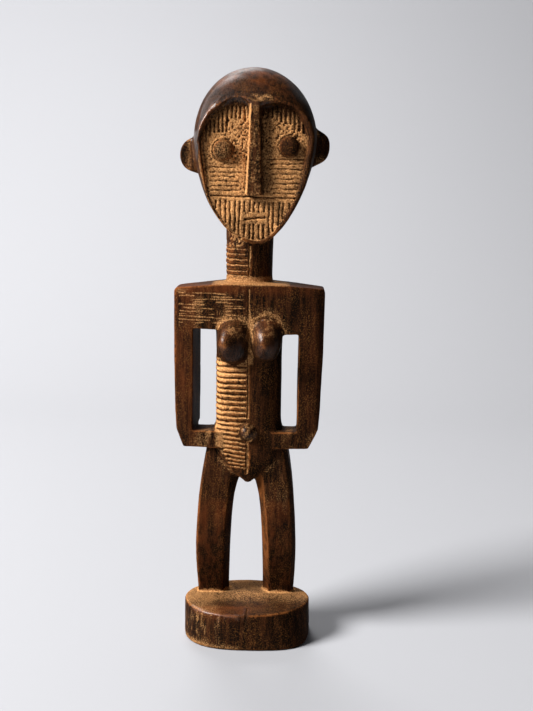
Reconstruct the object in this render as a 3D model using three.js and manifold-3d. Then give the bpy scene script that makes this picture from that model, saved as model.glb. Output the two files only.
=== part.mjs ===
// A standing ancestor figure with its low oval base, carved from one block of wood.
// Units are millimetres. +Z is up, the figure faces -Y, and X runs to the viewer's right.
// The origin is the middle of the base's underside.
import * as THREE from "three";
import { mergeVertices } from "three/addons/utils/BufferGeometryUtils.js";
import Module from "manifold-3d";

const wasm = await Module();
wasm.setup();

const radians = THREE.MathUtils.degToRad;

// Driving dimensions
const BASE = {
  halfWidth: 45.2,
  halfDepth: 33.4,
  height: 26.5,
  edge: 1.1,
  topSlope: 0.6,
  topBoxiness: 2.05,
  leftFootBoxiness: 2.4,
  rightFootBoxiness: 3.2,
  wobble: 0.012,
  points: 44,
};

// Each run below pairs a height with a size there; the values between are faired.
const LEG = {
  axis: -1,
  levels: [20, 32, 44, 57, 68, 80, 92, 104, 112, 118, 123, 128, 134, 140, 147, 154, 160],
  outer: [[20, 34.4], [57, 35.9], [100, 33.8], [133, 29.4], [146, 26.4], [160, 20]],
  inner: [[20, 12.6], [55, 11.9], [80, 11], [104, 8.8], [118, 5], [128, 1], [160, 1]],
  facetWidth: [[20, 4.6], [60, 4.4], [104, 4], [120, 7], [160, 8]],
  front: [[20, 10], [27, 8.6], [80, -7.8], [104, -9], [125, -10.2], [160, -9]],
  back: [[20, 23], [27, 22.4], [62, 17.5], [84, 18], [112, 27], [128, 31], [142, 28.5], [160, 18]],
  facetDepth: 6.5,
  backChamfer: 4,
  leftEdge: 1.2,
  rightEdge: 3.2,
  chamferStretch: 1.4,
};

const TORSO = {
  levels: [115.2, 117, 119.2, 122, 125.4, 129.4, 134.4, 142, 151, 158, 206, 220, 232, 250],
  left: [
    [115.2, 2], [118.2, 6.6], [123.6, 13], [128, 17.4], [132.4, 20.9], [142, 22.9], [151, 24],
    [158, 23.2], [206, 23.2], [232, 24], [250, 20],
  ],
  right: [
    [115.2, 2.6], [117.8, 6.2], [121.4, 9.4], [124.4, 12.2], [131, 21.2], [135, 24.4], [143, 25.2],
    [151, 24.4], [158, 22.4], [206, 22.4], [232, 23], [250, 19],
  ],
  front: [
    [115.2, 10.6], [121.6, 13.2], [138, 15], [151, 15.2], [158, 14.6], [206, 14.6], [232, 12.4],
    [250, 11],
  ],
  back: [[115.2, 10], [121.6, 18], [133, 24], [151, 24.4], [158, 23], [206, 23], [250, 23]],
  leftBoxiness: 3.8,
  rightBoxiness: 2.5,
  backBoxiness: 3,
  columns: [0, 20, 38, 48, 60, 76, 94, 118, 146, 180, 212, 238, 262, 284, 304, 322, 340].map(radians),
};

const SHOULDERS = {
  leftEnd: -52.6,
  rightEnd: 51.3,
  frontMiddle: -14,
  frontEnds: -10.6,
  backMiddle: 24.5,
  backEnds: 14.5,
  leftCorner: 1.4,
  rightCorner: 4.4,
  backCorner: 3.5,
};

// The arms' outline runs round from the left hand, up the right side and over the shoulders.
const ARMS = {
  handBottom: 140.4,
  handBack: 8,
  handsFrom: -37,
  handsTo: 34,
  rightSide: [[41.6, 140.2], [48.4, 153.4], [49.5, 168], [50.8, 208], [51.2, 249.6]],
  top: [[50.2, 252], [15, 255], [-1.4, 255.8], [-18, 254.9], [-50.6, 251.6]],
  leftSide: [[-52.4, 249.6], [-52.2, 207], [-51.1, 166], [-50.3, 153], [-45.3, 140.4]],
};

// The windows between the arms and the torso; the left arm's inner side slants.
const WINDOWS = {
  bottom: 152.4,
  hiddenSide: 2,
  topSlope: 0.8,
  left: { side: -1, top: 223, innerFront: -38.6, innerBack: -35.6 },
  right: { side: 1, top: 220, innerFront: 33.5, innerBack: 33.5 },
};

const NECK = {
  x: -1.4,
  y: 8,
  halfWidth: 16.1,
  halfDepth: 15.4,
  levels: [252, 255.4, 257.2, 259.2, 277, 319],
  points: 24,
  footFlare: { below: 259, over: 7, amount: 0.1 },
  headFlare: { above: 268, over: 20, amount: 0.04 },
};

const HEAD = {
  centre: [1.3, 6, 350],
  lean: radians(3.7),
  turn: radians(3),
  halfWidth: 41.8,
  crown: 49.5,
  jaw: 67.5,
  crownReach: 78,
  jawReach: 100,
  faceY: -33,
  backY: 34.5,
  depths: [-33, -32, -29, -24, -17, -9, 0, 9, 16, 22.5, 28, 31.8, 34],
  crownPower: 2.03,
  leftJawPower: 2.06,
  rightJawPower: 1.5,
  points: 48,
};

const FACE = {
  floor: [[280, 1], [314.2, 1.9], [340, 3.4], [372.2, 4.8], [380, 0]],
  rim: 1.9,
  middle: 3.1,
  halfWidth: 36.2,
  leftJawSwell: 3.1,
  rightJawSwell: 0.9,
  wallSlope: 0.016,
  lineHeight: 313.5,
  lineSlope: 0.02,
};

const NOSE = {
  x: 1.9,
  top: 374,
  bottom: 314.5,
  topWidth: 5.8,
  bottomWidth: 9.9,
  flank: 2.2,
  topY: -27.6,
  tipY: -31,
  rootY: -14,
};

const EYES = [
  { x: -18.7, z: 343.4, radius: 6.8 },
  { x: 24.1, z: 346.4, radius: 6.6 },
];
const EYE_PROUD = 4.2;
const MOUTH = { x: 2.7, z: 299.6, width: 15.5, rise: 0.9 };
const EAR = { y: 8, thickness: 8 };

const BREASTS = [
  { x: -11.2, z: 216.4, halfWidth: 11.3, tipAside: -5.2 },
  { x: 11.5, z: 217.2, halfWidth: 10.7, tipAside: -1.4 },
];

// The profile pairs how far a breast stands out with its share of the whole width there.
const BREAST = {
  profile: [[-7, 1], [0.8, 1], [3.6, 0.95], [6.6, 0.84], [9.4, 0.64], [11.7, 0.38], [13, 0.12]],
  rootY: -13.4,
  tall: 1.34,
  sag: 1.8,
  boxiness: 2.3,
  sides: 24,
};
const NAVEL = { x: -0.6, y: -15.4, z: 152.6, radius: 6.2 };

// Carved lines: a V groove's width at the surface and its depth.
const UPRIGHT_LINE = { width: 1.7, depth: 1 };
const CHEEK_LINE = { width: 1.4, depth: 0.8 };
const CHEEK_LIMIT = { width: 1.8, depth: 1.3 };
const MOUTH_LINE = { width: 2.2, depth: 1.9 };
const RIB_LINE = { width: 2.2, depth: 1 };
const LOW_RIB_LINE = { width: 1.7, depth: 0.85 };
const NECK_LINE = { width: 1.3, depth: 0.7 };
const MIDLINE = { width: 1.7, depth: 0.9 };

// Rows of cuts over the eyes, on the cheeks and round the mouth.
const BROW_ARCHES = [
  [-33, 360], [-26, 368], [-19, 372], [-5, 372], [6, 371.6], [20, 372.6], [31, 369], [38, 360],
];
const BROW_ROWS = [
  { from: -30, to: -4, pitch: 2.8, feet: [[-30, 349.5], [-23, 353.8], [-15.5, 353.6], [-13.5, 362.5]] },
  { from: 7.2, to: 36, pitch: 2.94, feet: [[7, 365.5], [13, 363], [25, 359.5], [30, 355], [36, 352.8]] },
];
const CHEEK_ROWS = {
  left: { side: -1, count: 6, top: 332.3, pitch: 2.95, outer: -28.4, inner: -8 },
  right: { side: 1, count: 8, top: 338.2, pitch: 3.18, outer: 35.4, inner: 12.5 },
};
const CHIN_ROW = { from: -23.1, to: 29, pitch: 3.2, underLine: 2, shortest: 4 };

// Rows of ribs: the first one's height, how far each climbs round the side, and the torso
// columns that it passes. A rib starts part of the way from the midline to its first column.
const RIB_START = 0.2;
const RIB_ROWS = [
  { line: RIB_LINE, count: 12, top: 201, pitch: 3.81, climb: 0, climbStep: 0, columns: [1, 2, 3, 4, 5, 6] },
  { line: RIB_LINE, count: 1, top: 155.3, pitch: 3.7, climb: 1.4, climbStep: 0.9, columns: [1, 2, 3, 4, 5] },
  { line: RIB_LINE, count: 2, top: 151.4, pitch: 3.6, climb: 2.3, climbStep: 0.9, columns: [1, 2, 3, 4] },
  { line: LOW_RIB_LINE, count: 3, top: 144.4, pitch: 3, climb: 3.4, climbStep: -0.3, columns: [1, 2, 3, 4] },
  { line: LOW_RIB_LINE, count: 4, top: 135.2, pitch: 2.8, climb: 2.5, climbStep: -0.3, columns: [1, 2, 3] },
];
const MIDLINE_RUNS = { chest: [253, 228], belly: [206, 161], apron: [148, 121.5] };
const NECK_RINGS = { levels: [278.4, 274.9, 271.4, 267.5, 263.4, 260], steps: 8, upright: [281, 258.5] };

// Small unevenness of handwork, the same on every run.
let seed = 7;
function handwork(amount) {
  seed = (seed * 16807) % 2147483647;
  return amount * ((2 * seed) / 2147483647 - 1);
}

// Reads a run of [place, size] stations with smooth joins and no overshoot.
function along(stations, place) {
  const last = stations.length - 1;
  if (place <= stations[0][0]) return stations[0][1];
  if (place >= stations[last][0]) return stations[last][1];
  const i = stations.findIndex(([at]) => at > place) - 1;
  const rise = (k) => (stations[k + 1][1] - stations[k][1]) / (stations[k + 1][0] - stations[k][0]);
  const slope = (k) => {
    if (k === 0) return rise(0);
    if (k === last) return rise(last - 1);
    const [before, after] = [rise(k - 1), rise(k)];
    return before * after <= 0 ? 0 : (2 * before * after) / (before + after);
  };
  const [from, to] = [stations[i], stations[i + 1]];
  const gap = to[0] - from[0];
  const t = (place - from[0]) / gap;
  const start = from[1] * (1 + 2 * t) * (1 - t) ** 2 + slope(i) * gap * t * (1 - t) ** 2;
  return start + to[1] * t * t * (3 - 2 * t) - slope(i + 1) * gap * t * t * (1 - t);
}

const point = (x, y, z) => new THREE.Vector3(x, y, z);
const toViewer = point(0, -1, 0);
const upward = point(0, 0, 1);

// How far a rounded square of a given boxiness reaches in the direction of a turn.
function boxyReach(turn, power) {
  return (Math.abs(Math.sin(turn)) ** power + Math.abs(Math.cos(turn)) ** power) ** (-1 / power);
}

// Turns a closed three.js geometry into a solid with its faces outwards.
function solid(geometry) {
  const bare = geometry.clone();
  bare.deleteAttribute("normal");
  bare.deleteAttribute("uv");
  const merged = mergeVertices(bare, 1e-4);
  const vertProperties = new Float32Array(merged.attributes.position.array);
  const triVerts = new Uint32Array(merged.index.array);
  const at = (i) => point(...vertProperties.slice(3 * i, 3 * i + 3));
  let volume = 0;
  for (let i = 0; i < triVerts.length; i += 3) {
    volume += at(triVerts[i]).dot(at(triVerts[i + 1]).cross(at(triVerts[i + 2])));
  }
  if (volume < 0) triVerts.reverse();
  return new wasm.Manifold(new wasm.Mesh({ numProp: 3, vertProperties, triVerts }));
}

// Skins a row of rings, each with the same number of points, and closes both ends.
function loft(rings) {
  const count = rings[0].length;
  const vertices = rings.flat();
  const faces = [];
  for (let r = 0; r + 1 < rings.length; r += 1) {
    for (let i = 0; i < count; i += 1) {
      const a = r * count + i;
      const b = r * count + ((i + 1) % count);
      faces.push(a, b, b + count, a, b + count, a + count);
    }
  }
  const close = (ring, start, turned) => {
    const middle = ring.reduce((sum, p) => sum.add(p), point(0, 0, 0)).divideScalar(count);
    vertices.push(middle);
    for (let i = 0; i < count; i += 1) {
      const edge = [start + i, start + ((i + 1) % count)];
      if (turned) edge.reverse();
      faces.push(vertices.length - 1, ...edge);
    }
  };
  close(rings[0], 0, true);
  close(rings[rings.length - 1], (rings.length - 1) * count, false);
  const geometry = new THREE.BufferGeometry().setFromPoints(vertices);
  geometry.setIndex(faces);
  return solid(geometry);
}

// Extrudes an outline drawn in the X-Z plane from one depth to another.
function plate(shape, front, back) {
  const depth = back - front;
  const geometry = new THREE.ExtrudeGeometry(shape, { depth, bevelEnabled: false, curveSegments: 10 });
  geometry.rotateX(Math.PI / 2);
  geometry.translate(0, back, 0);
  return solid(geometry);
}

function polygon(corners) {
  return new THREE.Shape(corners.map(([x, y]) => new THREE.Vector2(x, y)));
}

// A knife cut from start to end: V-shaped, opening along out, run out to nothing at both ends.
function cut(start, end, out, line, clearance = 1.4) {
  const runOut = 1.2;
  const way = end.clone().sub(start).normalize();
  const side = way.clone().cross(out).normalize();
  const depth = line.depth * (1 + handwork(0.14));
  const half = (line.width / 2) * (1 + clearance / depth);
  const ring = (middle, inset) => [
    middle.clone().addScaledVector(way, inset).addScaledVector(out, -depth),
    middle.clone().addScaledVector(out, clearance).addScaledVector(side, half),
    middle.clone().addScaledVector(out, clearance).addScaledVector(side, -half),
  ];
  return loft([ring(start, runOut), ring(end, -runOut)]);
}

// The same cut led round a form through a row of surface points and their outward directions.
function wrappedCut(places, line) {
  const clearance = 1.6;
  const half = (line.width / 2) * (1 + clearance / line.depth);
  const rings = places.map(({ at, out }, i) => {
    const runOut = i === places.length - 1 ? 1.2 * line.depth : 0;
    return [
      at.clone().addScaledVector(out, runOut - line.depth),
      at.clone().addScaledVector(out, clearance + runOut).addScaledVector(upward, half),
      at.clone().addScaledVector(out, clearance + runOut).addScaledVector(upward, -half),
    ];
  });
  return loft(rings);
}

const joined = (solids) => solids.reduce((sum, next) => sum.add(next));
const carved = (body, cuts) => cuts.reduce((left, next) => left.subtract(next), body);

// The oval base with softened edges, squarer at the foot, and never cut quite round.
function base() {
  const { halfWidth, halfDepth, height, edge, topSlope, wobble, points } = BASE;
  const ring = (inset, level, up) =>
    Array.from({ length: points }, (_, i) => {
      const turn = (i / points) * 2 * Math.PI;
      const uneven = 1 + wobble * Math.sin(3 * turn + 1) + 0.5 * wobble * Math.sin(5 * turn);
      const foot = Math.cos(turn) < 0 ? BASE.leftFootBoxiness : BASE.rightFootBoxiness;
      const reach = uneven * boxyReach(turn, foot + (BASE.topBoxiness - foot) * up);
      const x = (halfWidth - inset) * reach * Math.cos(turn);
      const y = (halfDepth - inset) * reach * Math.sin(turn);
      return point(x, y, level + topSlope * up * Math.sin(turn + 0.6));
    });
  return loft([
    ring(edge, 0, 0),
    ring(0, 1.3 * edge, 0),
    ring(0.1 * edge, height / 2, 0.5),
    ring(0.2 * edge, height - 0.8 * edge, 1),
    ring(edge, height, 1),
  ]);
}

// A leg cut with flat facets: narrow front, a slanting inner facet, knee forward and foot back.
function leg(side, outerEdge) {
  const chamfer = LEG.backChamfer;
  const stretch = LEG.chamferStretch;
  const rings = LEG.levels.map((z) => {
    const outer = along(LEG.outer, z);
    const inner = along(LEG.inner, z);
    const front = along(LEG.front, z);
    const back = along(LEG.back, z);
    const corners = [
      [inner + along(LEG.facetWidth, z), front],
      [outer - outerEdge, front],
      [outer, front + stretch * outerEdge],
      [outer, back - stretch * chamfer],
      [outer - stretch * chamfer, back],
      [inner + chamfer, back],
      [inner, back - chamfer],
      [inner, front + LEG.facetDepth],
    ];
    return corners.map(([x, y]) => point(LEG.axis + side * x, y, z));
  });
  return loft(rings);
}

// A point of the torso's skin: turn 0 is the midline in front, and a quarter turn is the left side.
function torsoSkin(z, turn) {
  const sine = Math.sin(turn);
  const cosine = Math.cos(turn);
  const left = sine > 0;
  const width = along(left ? TORSO.left : TORSO.right, z);
  const depth = along(cosine > 0 ? TORSO.front : TORSO.back, z);
  const frontPower = left ? TORSO.leftBoxiness : TORSO.rightBoxiness;
  const reach = boxyReach(turn, cosine > 0 ? frontPower : TORSO.backBoxiness);
  return point(-width * reach * sine, -depth * reach * cosine, z);
}

// The outward direction at a corner between two flat facets, long enough to reach both offsets.
function mitre(before, at, after) {
  const facing = (from, to) => point(from.y - to.y, to.x - from.x, 0).normalize();
  const [first, second] = [facing(before, at), facing(at, after)];
  return first.clone().add(second).divideScalar(1 + first.dot(second));
}

function torso() {
  return loft(TORSO.levels.map((z) => TORSO.columns.map((turn) => torsoSkin(z, turn))));
}

// Shoulders, arms and hands seen from above: bowed forward at the neck, and more so behind.
function armPlan() {
  const s = SHOULDERS;
  const plan = new THREE.Shape();
  plan.moveTo(s.leftEnd, s.frontEnds + s.leftCorner);
  plan.lineTo(s.leftEnd + s.leftCorner, s.frontEnds);
  plan.quadraticCurveTo(0, 2 * s.frontMiddle - s.frontEnds, s.rightEnd - s.rightCorner, s.frontEnds);
  plan.lineTo(s.rightEnd, s.frontEnds + 0.9 * s.rightCorner);
  plan.lineTo(s.rightEnd, s.backEnds - s.backCorner);
  plan.lineTo(s.rightEnd - s.backCorner, s.backEnds);
  plan.quadraticCurveTo(0, 2 * s.backMiddle - s.backEnds, s.leftEnd + s.backCorner, s.backEnds);
  plan.lineTo(s.leftEnd, s.backEnds - s.backCorner);
  plan.closePath();
  return plan;
}

// The inner side keeps its slant from the shoulders' front to their back, and a reach beyond.
function armWindow({ side, top, innerFront, innerBack }) {
  const reach = 14;
  const hidden = side * WINDOWS.hiddenSide;
  const slant = (innerBack - innerFront) / (SHOULDERS.backEnds - SHOULDERS.frontEnds);
  const ring = (y, inner) => [
    point(hidden, y, WINDOWS.bottom),
    point(inner, y, WINDOWS.bottom),
    point(inner, y, top + WINDOWS.topSlope),
    point(hidden, y, top - WINDOWS.topSlope),
  ];
  return loft([
    ring(SHOULDERS.frontEnds - reach, innerFront - slant * reach),
    ring(SHOULDERS.backMiddle + reach, innerBack + slant * reach),
  ]);
}

function armsAndShoulders() {
  const outline = polygon([...ARMS.rightSide, ...ARMS.top, ...ARMS.leftSide]);
  const outerRoom = 16;
  const fromFront = plate(outline, SHOULDERS.frontMiddle - outerRoom, SHOULDERS.backMiddle + outerRoom);
  const plan = new THREE.ExtrudeGeometry(armPlan(), { depth: 140, bevelEnabled: false, curveSegments: 12 });
  plan.translate(0, 0, ARMS.handBottom - 10);
  const behindHands = new THREE.BoxGeometry(ARMS.handsTo - ARMS.handsFrom, 30, 30);
  behindHands.translate((ARMS.handsFrom + ARMS.handsTo) / 2, ARMS.handBack + 15, WINDOWS.bottom - 14);
  const cuts = [armWindow(WINDOWS.left), armWindow(WINDOWS.right), solid(behindHands)];
  return carved(fromFront.intersect(solid(plan)), cuts);
}

// A long breast that hangs a little, with its tip leaning aside.
function breast({ x, z, halfWidth, tipAside }) {
  const { profile, rootY, tall, sag, boxiness, sides } = BREAST;
  const [height] = profile[profile.length - 1];
  const rings = profile.map(([out, share]) => {
    const t = Math.max(0, out / height);
    const middleX = x + tipAside * t * t;
    const middleZ = z - 4 * sag * t * (1 - t);
    return Array.from({ length: sides }, (_, i) => {
      const turn = (i / sides) * 2 * Math.PI;
      const reach = halfWidth * share * boxyReach(turn, boxiness);
      return point(middleX + reach * Math.sin(turn), rootY - out, middleZ + tall * reach * Math.cos(turn));
    });
  });
  return loft(rings);
}

// The round knob of the navel.
function navel() {
  const geometry = new THREE.SphereGeometry(NAVEL.radius, 16, 9);
  geometry.scale(1, 1.05, 1.02);
  geometry.translate(NAVEL.x, NAVEL.y, NAVEL.z);
  return solid(geometry);
}

// The neck column, with a small flare where it grows out of the shoulders.
function neckSkin(z, turn) {
  const { footFlare, headFlare } = NECK;
  const foot = Math.max(0, (footFlare.below - z) / footFlare.over) ** 2;
  const top = Math.max(0, (z - headFlare.above) / headFlare.over);
  const flare = 1 + footFlare.amount * foot + headFlare.amount * top;
  const x = NECK.x - NECK.halfWidth * flare * Math.sin(turn);
  const y = NECK.y - NECK.halfDepth * flare * Math.cos(turn);
  return point(x, y, z);
}

const neckTurn = (i) => (i / NECK.points) * 2 * Math.PI;

function neck() {
  const ring = (z) => Array.from({ length: NECK.points }, (_, i) => neckSkin(z, neckTurn(i)));
  return loft(NECK.levels.map(ring));
}

// The jaw is fuller on the viewer's left than on the right.
const jawPower = (aside) => (aside < 0 ? HEAD.leftJawPower : HEAD.rightJawPower);

// Nothing beside the ears and one all round the chin; a turn of 0 is the chin's tip.
const jawShare = (turn) => THREE.MathUtils.smoothstep(Math.cos(turn), 0.3, 0.55);

// The head's outline at a depth behind the face: round above, tapering to the chin below.
// It is widest in the middle of its depth, and narrows to the front less at the jaw than above.
function headRing(y) {
  const h = HEAD;
  const share = (from, to, power) => Math.max(0, 1 - Math.abs((y - from) / (to - from)) ** power) ** 0.5;
  const [crownFront, crownMiddle] = [-39, -3];
  const width = (reach) => h.halfWidth * (y < 0 ? share(0, reach, 2) : share(0, h.backY, 2.3));
  const [crownWidth, jawWidth] = [width(h.crownReach), width(h.jawReach)];
  const crown = h.crown * (y < crownMiddle ? share(crownMiddle, crownFront, 2) : share(crownMiddle, h.backY, 2));
  const jaw = h.jaw * share(h.faceY, h.backY, 2.1);
  return Array.from({ length: h.points }, (_, i) => {
    const turn = (i / h.points) * 2 * Math.PI;
    const above = Math.cos(turn) > 0;
    const reach = boxyReach(turn, above ? h.crownPower : jawPower(Math.sin(turn)));
    const aside = crownWidth + (jawWidth - crownWidth) * jawShare(Math.PI - turn);
    return point(aside * reach * Math.sin(turn), y, (above ? crown : jaw) * reach * Math.cos(turn));
  });
}

// Leans and turns a shape drawn about the head's own middle and puts it in its place.
function placedOnHead(p) {
  return p
    .applyAxisAngle(point(0, 1, 0), -HEAD.lean)
    .applyAxisAngle(upward, HEAD.turn)
    .add(point(...HEAD.centre));
}

function head() {
  return loft(HEAD.depths.map((y) => headRing(y).map(placedOnHead)));
}

// The left ear is a round lobe; the right one has a straight lower edge.
function ears() {
  const root = 34;
  const left = new THREE.Shape();
  left.moveTo(-root, 352.6);
  left.lineTo(-41, 352.4);
  left.bezierCurveTo(-53.4, 350.4, -53, 331.6, -42, 329.4);
  left.lineTo(-root, 327.4);
  const right = new THREE.Shape();
  right.moveTo(root, 362);
  right.lineTo(42.5, 359.6);
  right.lineTo(48.6, 356.3);
  right.quadraticCurveTo(52.3, 353.8, 52.2, 348.6);
  right.quadraticCurveTo(52.4, 340.2, 48, 337.2);
  right.lineTo(40.4, 333.5);
  right.lineTo(root, 332);
  return [left, right].map((shape) => plate(shape, EAR.y - EAR.thickness / 2, EAR.y + EAR.thickness / 2));
}

// A point of the sunken face's lower edge, from the chin at turn 0 up to the ear at a quarter turn.
function jawPoint(turn, side) {
  const reach = boxyReach(turn, jawPower(side));
  const swell = (side < 0 ? FACE.leftJawSwell : FACE.rightJawSwell) * jawShare(turn);
  const x = side * (FACE.halfWidth + swell) * reach * Math.sin(turn);
  const z = -(HEAD.jaw - FACE.rim) * reach * Math.cos(turn);
  const [sine, cosine] = [Math.sin(HEAD.lean), Math.cos(HEAD.lean)];
  return new THREE.Vector2(FACE.middle + x * cosine - z * sine, HEAD.centre[2] + z * cosine + x * sine);
}

// How far the sunken face's floor reaches to one side at a height.
function faceEdge(z, side) {
  const turns = Array.from({ length: 180 }, (_, i) => radians(i / 2));
  const reached = turns.find((turn) => jawPoint(turn, side).y > z) ?? Math.PI / 2;
  const edge = jawPoint(reached, side).x;
  const wallRun = FACE.wallSlope * along(FACE.floor, z) * Math.abs(edge - FACE.middle);
  return edge - side * wallRun;
}

// The sunken face inside its rim: two brow arches above, the jaw's taper below.
function faceOutline() {
  const { middle, halfWidth } = FACE;
  const [left, right] = [middle - halfWidth, middle + halfWidth];
  const shape = new THREE.Shape();
  shape.moveTo(left, 346);
  shape.bezierCurveTo(left, 358, -30, 365.5, -24, 370.2);
  shape.bezierCurveTo(-17, 377, -8, 381.5, -2.4, 374);
  shape.lineTo(5.4, 372);
  shape.bezierCurveTo(10, 375, 21, 375.6, 29, 371.4);
  shape.bezierCurveTo(35, 366.6, right, 358, right, 348);
  const jawSteps = 12;
  const ear = radians(87);
  const jaw = [];
  for (let i = 1; i < jawSteps; i += 1) jaw.push(jawPoint((1 - i / jawSteps) * ear, 1));
  for (let i = 0; i < jawSteps; i += 1) jaw.push(jawPoint((i / jawSteps) * ear, -1));
  return [...shape.getPoints(8), ...jaw];
}

// The face's floor lies behind the head's front plane, and is turned a little with the head.
const floorY = (z) => HEAD.centre[1] + HEAD.faceY + along(FACE.floor, z);
const faceTurn = (x) => (x - HEAD.centre[0]) * Math.tan(HEAD.turn);
const onFace = (x, z) => point(x, floorY(z) + faceTurn(x), z);

// The line across the face under the nose falls a little to the right.
const lineHeight = (x) => FACE.lineHeight - FACE.lineSlope * (x - FACE.middle);

// Everything in front of the face's floor, inside a wall that slopes inwards to the floor.
function faceHollow() {
  const [left, right, front] = [-46, 50, -60];
  const rimY = HEAD.centre[1] + HEAD.faceY;
  const outline = faceOutline();
  const middle = new THREE.Vector2(FACE.middle, HEAD.centre[2]);
  const section = (y) => {
    const scale = 1 - FACE.wallSlope * (y - rimY);
    return outline.map((p) => {
      const corner = p.clone().sub(middle).multiplyScalar(scale).add(middle);
      return point(corner.x, y, corner.y);
    });
  };
  const ahead = FACE.floor.map(([z]) => [
    onFace(left, z),
    onFace(right, z),
    point(right, front, z),
    point(left, front, z),
  ]);
  return loft(ahead).intersect(loft([section(front), section(0)]));
}

function nose() {
  const n = NOSE;
  const ring = (z, half, y) => [
    point(n.x - half, y, z),
    point(n.x + half, y, z),
    point(n.x + half + n.flank, n.rootY, z),
    point(n.x - half - n.flank, n.rootY, z),
  ];
  return loft([ring(n.bottom, n.bottomWidth / 2, n.tipY), ring(n.top, n.topWidth / 2, n.topY)]);
}

// An eye is a round peg with a slightly domed end.
function eye({ x, z, radius }) {
  const front = floorY(z) + faceTurn(x) - EYE_PROUD;
  const root = 9;
  const profile = [[0, 0], [0.62, 0.3], [0.9, 1], [1, 2.2], [1.06, root], [0, root]];
  const geometry = new THREE.LatheGeometry(profile.map(([r, h]) => new THREE.Vector2(r * radius, h)), 22);
  geometry.translate(x, front, z);
  return solid(geometry);
}

// The chin's edge inside the rim, straight below a place on the face.
function chinEdge(x) {
  const step = 0.25;
  const inside = (z) => faceEdge(z, -1) < x && x < faceEdge(z, 1);
  let z = lineHeight(x);
  while (inside(z)) z -= step;
  return z;
}

// Upright cuts over both eyes, level cuts on the cheeks and upright cuts round the mouth.
function faceLines() {
  const cuts = [];
  const lowClearance = 0.6;
  const line = (x1, z1, x2, z2, shape) => {
    const sway = () => handwork(0.35);
    cuts.push(cut(onFace(x1 + sway(), z1), onFace(x2 + sway(), z2), toViewer, shape, lowClearance));
  };
  BROW_ROWS.forEach(({ from, to, pitch, feet }) => {
    for (let x = from; x < to; x += pitch) {
      line(x, along(BROW_ARCHES, x) + 0.6, x, along(feet, x) + handwork(1.2), UPRIGHT_LINE);
    }
  });
  const wallGap = 0.8;
  Object.values(CHEEK_ROWS).forEach(({ side, count, top, pitch, outer, inner }) => {
    for (let i = 0; i < count; i += 1) {
      const z = top - pitch * i;
      const reach = Math.min(side * outer, side * (faceEdge(z, side) - side * wallGap));
      line(side * (reach + handwork(0.5)), z + handwork(0.3), inner + handwork(2), z, CHEEK_LINE);
    }
  });
  for (let x = CHIN_ROW.from; x < CHIN_ROW.to; x += CHIN_ROW.pitch) {
    const top = lineHeight(x) - CHIN_ROW.underLine + handwork(0.5);
    const bottom = chinEdge(x) + wallGap;
    const overMouth = Math.abs(x - MOUTH.x) <= MOUTH.width / 2;
    if (overMouth) line(x, top, x, MOUTH.z + 3.4, UPRIGHT_LINE);
    const start = overMouth ? MOUTH.z - 3 : top;
    if (start - bottom > CHIN_ROW.shortest) line(x, start, x + handwork(0.5), bottom, UPRIGHT_LINE);
  }
  const half = MOUTH.width / 2;
  const mouthEnd = (side) => onFace(MOUTH.x + side * half, MOUTH.z + side * MOUTH.rise);
  const limitEnd = (side) => {
    const x = faceEdge(FACE.lineHeight, side);
    return onFace(x, lineHeight(x));
  };
  cuts.push(cut(limitEnd(-1), limitEnd(1), toViewer, CHEEK_LIMIT));
  cuts.push(cut(mouthEnd(-1), mouthEnd(1), toViewer, MOUTH_LINE));
  return cuts;
}

// Ribs on the viewer's left half of the belly, from the midline round the side.
function ribs() {
  const rib = (z, climb, columns, line) => {
    const corner = (column, level) => torsoSkin(level, TORSO.columns[column]);
    const first = corner(columns[0] - 1, z).lerp(corner(columns[0], z), RIB_START);
    const places = columns.map((column) => {
      const level = z + climb * Math.sin(TORSO.columns[column]);
      const at = corner(column, level);
      return { at, out: mitre(corner(column - 1, level), at, corner(column + 1, level)) };
    });
    const out = mitre(corner(columns[0] - 1, z), first, places[0].at);
    return wrappedCut([{ at: first, out }, ...places], line);
  };
  const cuts = [];
  RIB_ROWS.forEach(({ line, count, top, pitch, climb, climbStep, columns }) => {
    for (let i = 0; i < count; i += 1) {
      cuts.push(rib(top - pitch * i, climb + climbStep * i, columns, line));
    }
  });
  return cuts;
}

// The upright cut down the middle of the chest, the belly and the apron.
function midline() {
  const x = -0.5;
  const { chest, belly, apron } = MIDLINE_RUNS;
  const onTorso = (z) => point(x, -along(TORSO.front, z), z);
  const onChest = (z) => point(x, SHOULDERS.frontMiddle, z);
  const run = ([top, bottom], on) => cut(on(top), on(bottom), toViewer, MIDLINE);
  return [run(chest, onChest), run(belly, onTorso), run(apron, onTorso)];
}

// Rings on the viewer's left half of the neck, and the upright cut that ends them.
function neckLines() {
  const cuts = NECK_RINGS.levels.map((z) => {
    const places = Array.from({ length: NECK_RINGS.steps }, (_, i) => {
      const turn = Math.max(0.03, neckTurn(i));
      return { at: neckSkin(z, turn), out: point(-Math.sin(turn), -Math.cos(turn), 0) };
    });
    return wrappedCut(places, NECK_LINE);
  });
  const [top, bottom] = NECK_RINGS.upright;
  const front = NECK.y - NECK.halfDepth;
  cuts.push(cut(point(-0.6, front, top), point(-1, front, bottom), toViewer, NECK_LINE));
  return cuts;
}

// The ribs stop where the hands cover the belly, so they are carved before the arms are joined.
// The breasts and the navel stand over the carved lines, so they are joined last.
function figure() {
  const body = joined([
    base(),
    leg(-1, LEG.leftEdge),
    leg(1, LEG.rightEdge),
    carved(torso(), ribs()),
    armsAndShoulders(),
    neck(),
    head().subtract(faceHollow()),
    ...ears(),
    nose(),
    ...EYES.map(eye),
  ]);
  const lined = carved(body, [...faceLines(), ...midline(), ...neckLines()]);
  return joined([lined, ...BREASTS.map(breast), navel()]);
}

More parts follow.
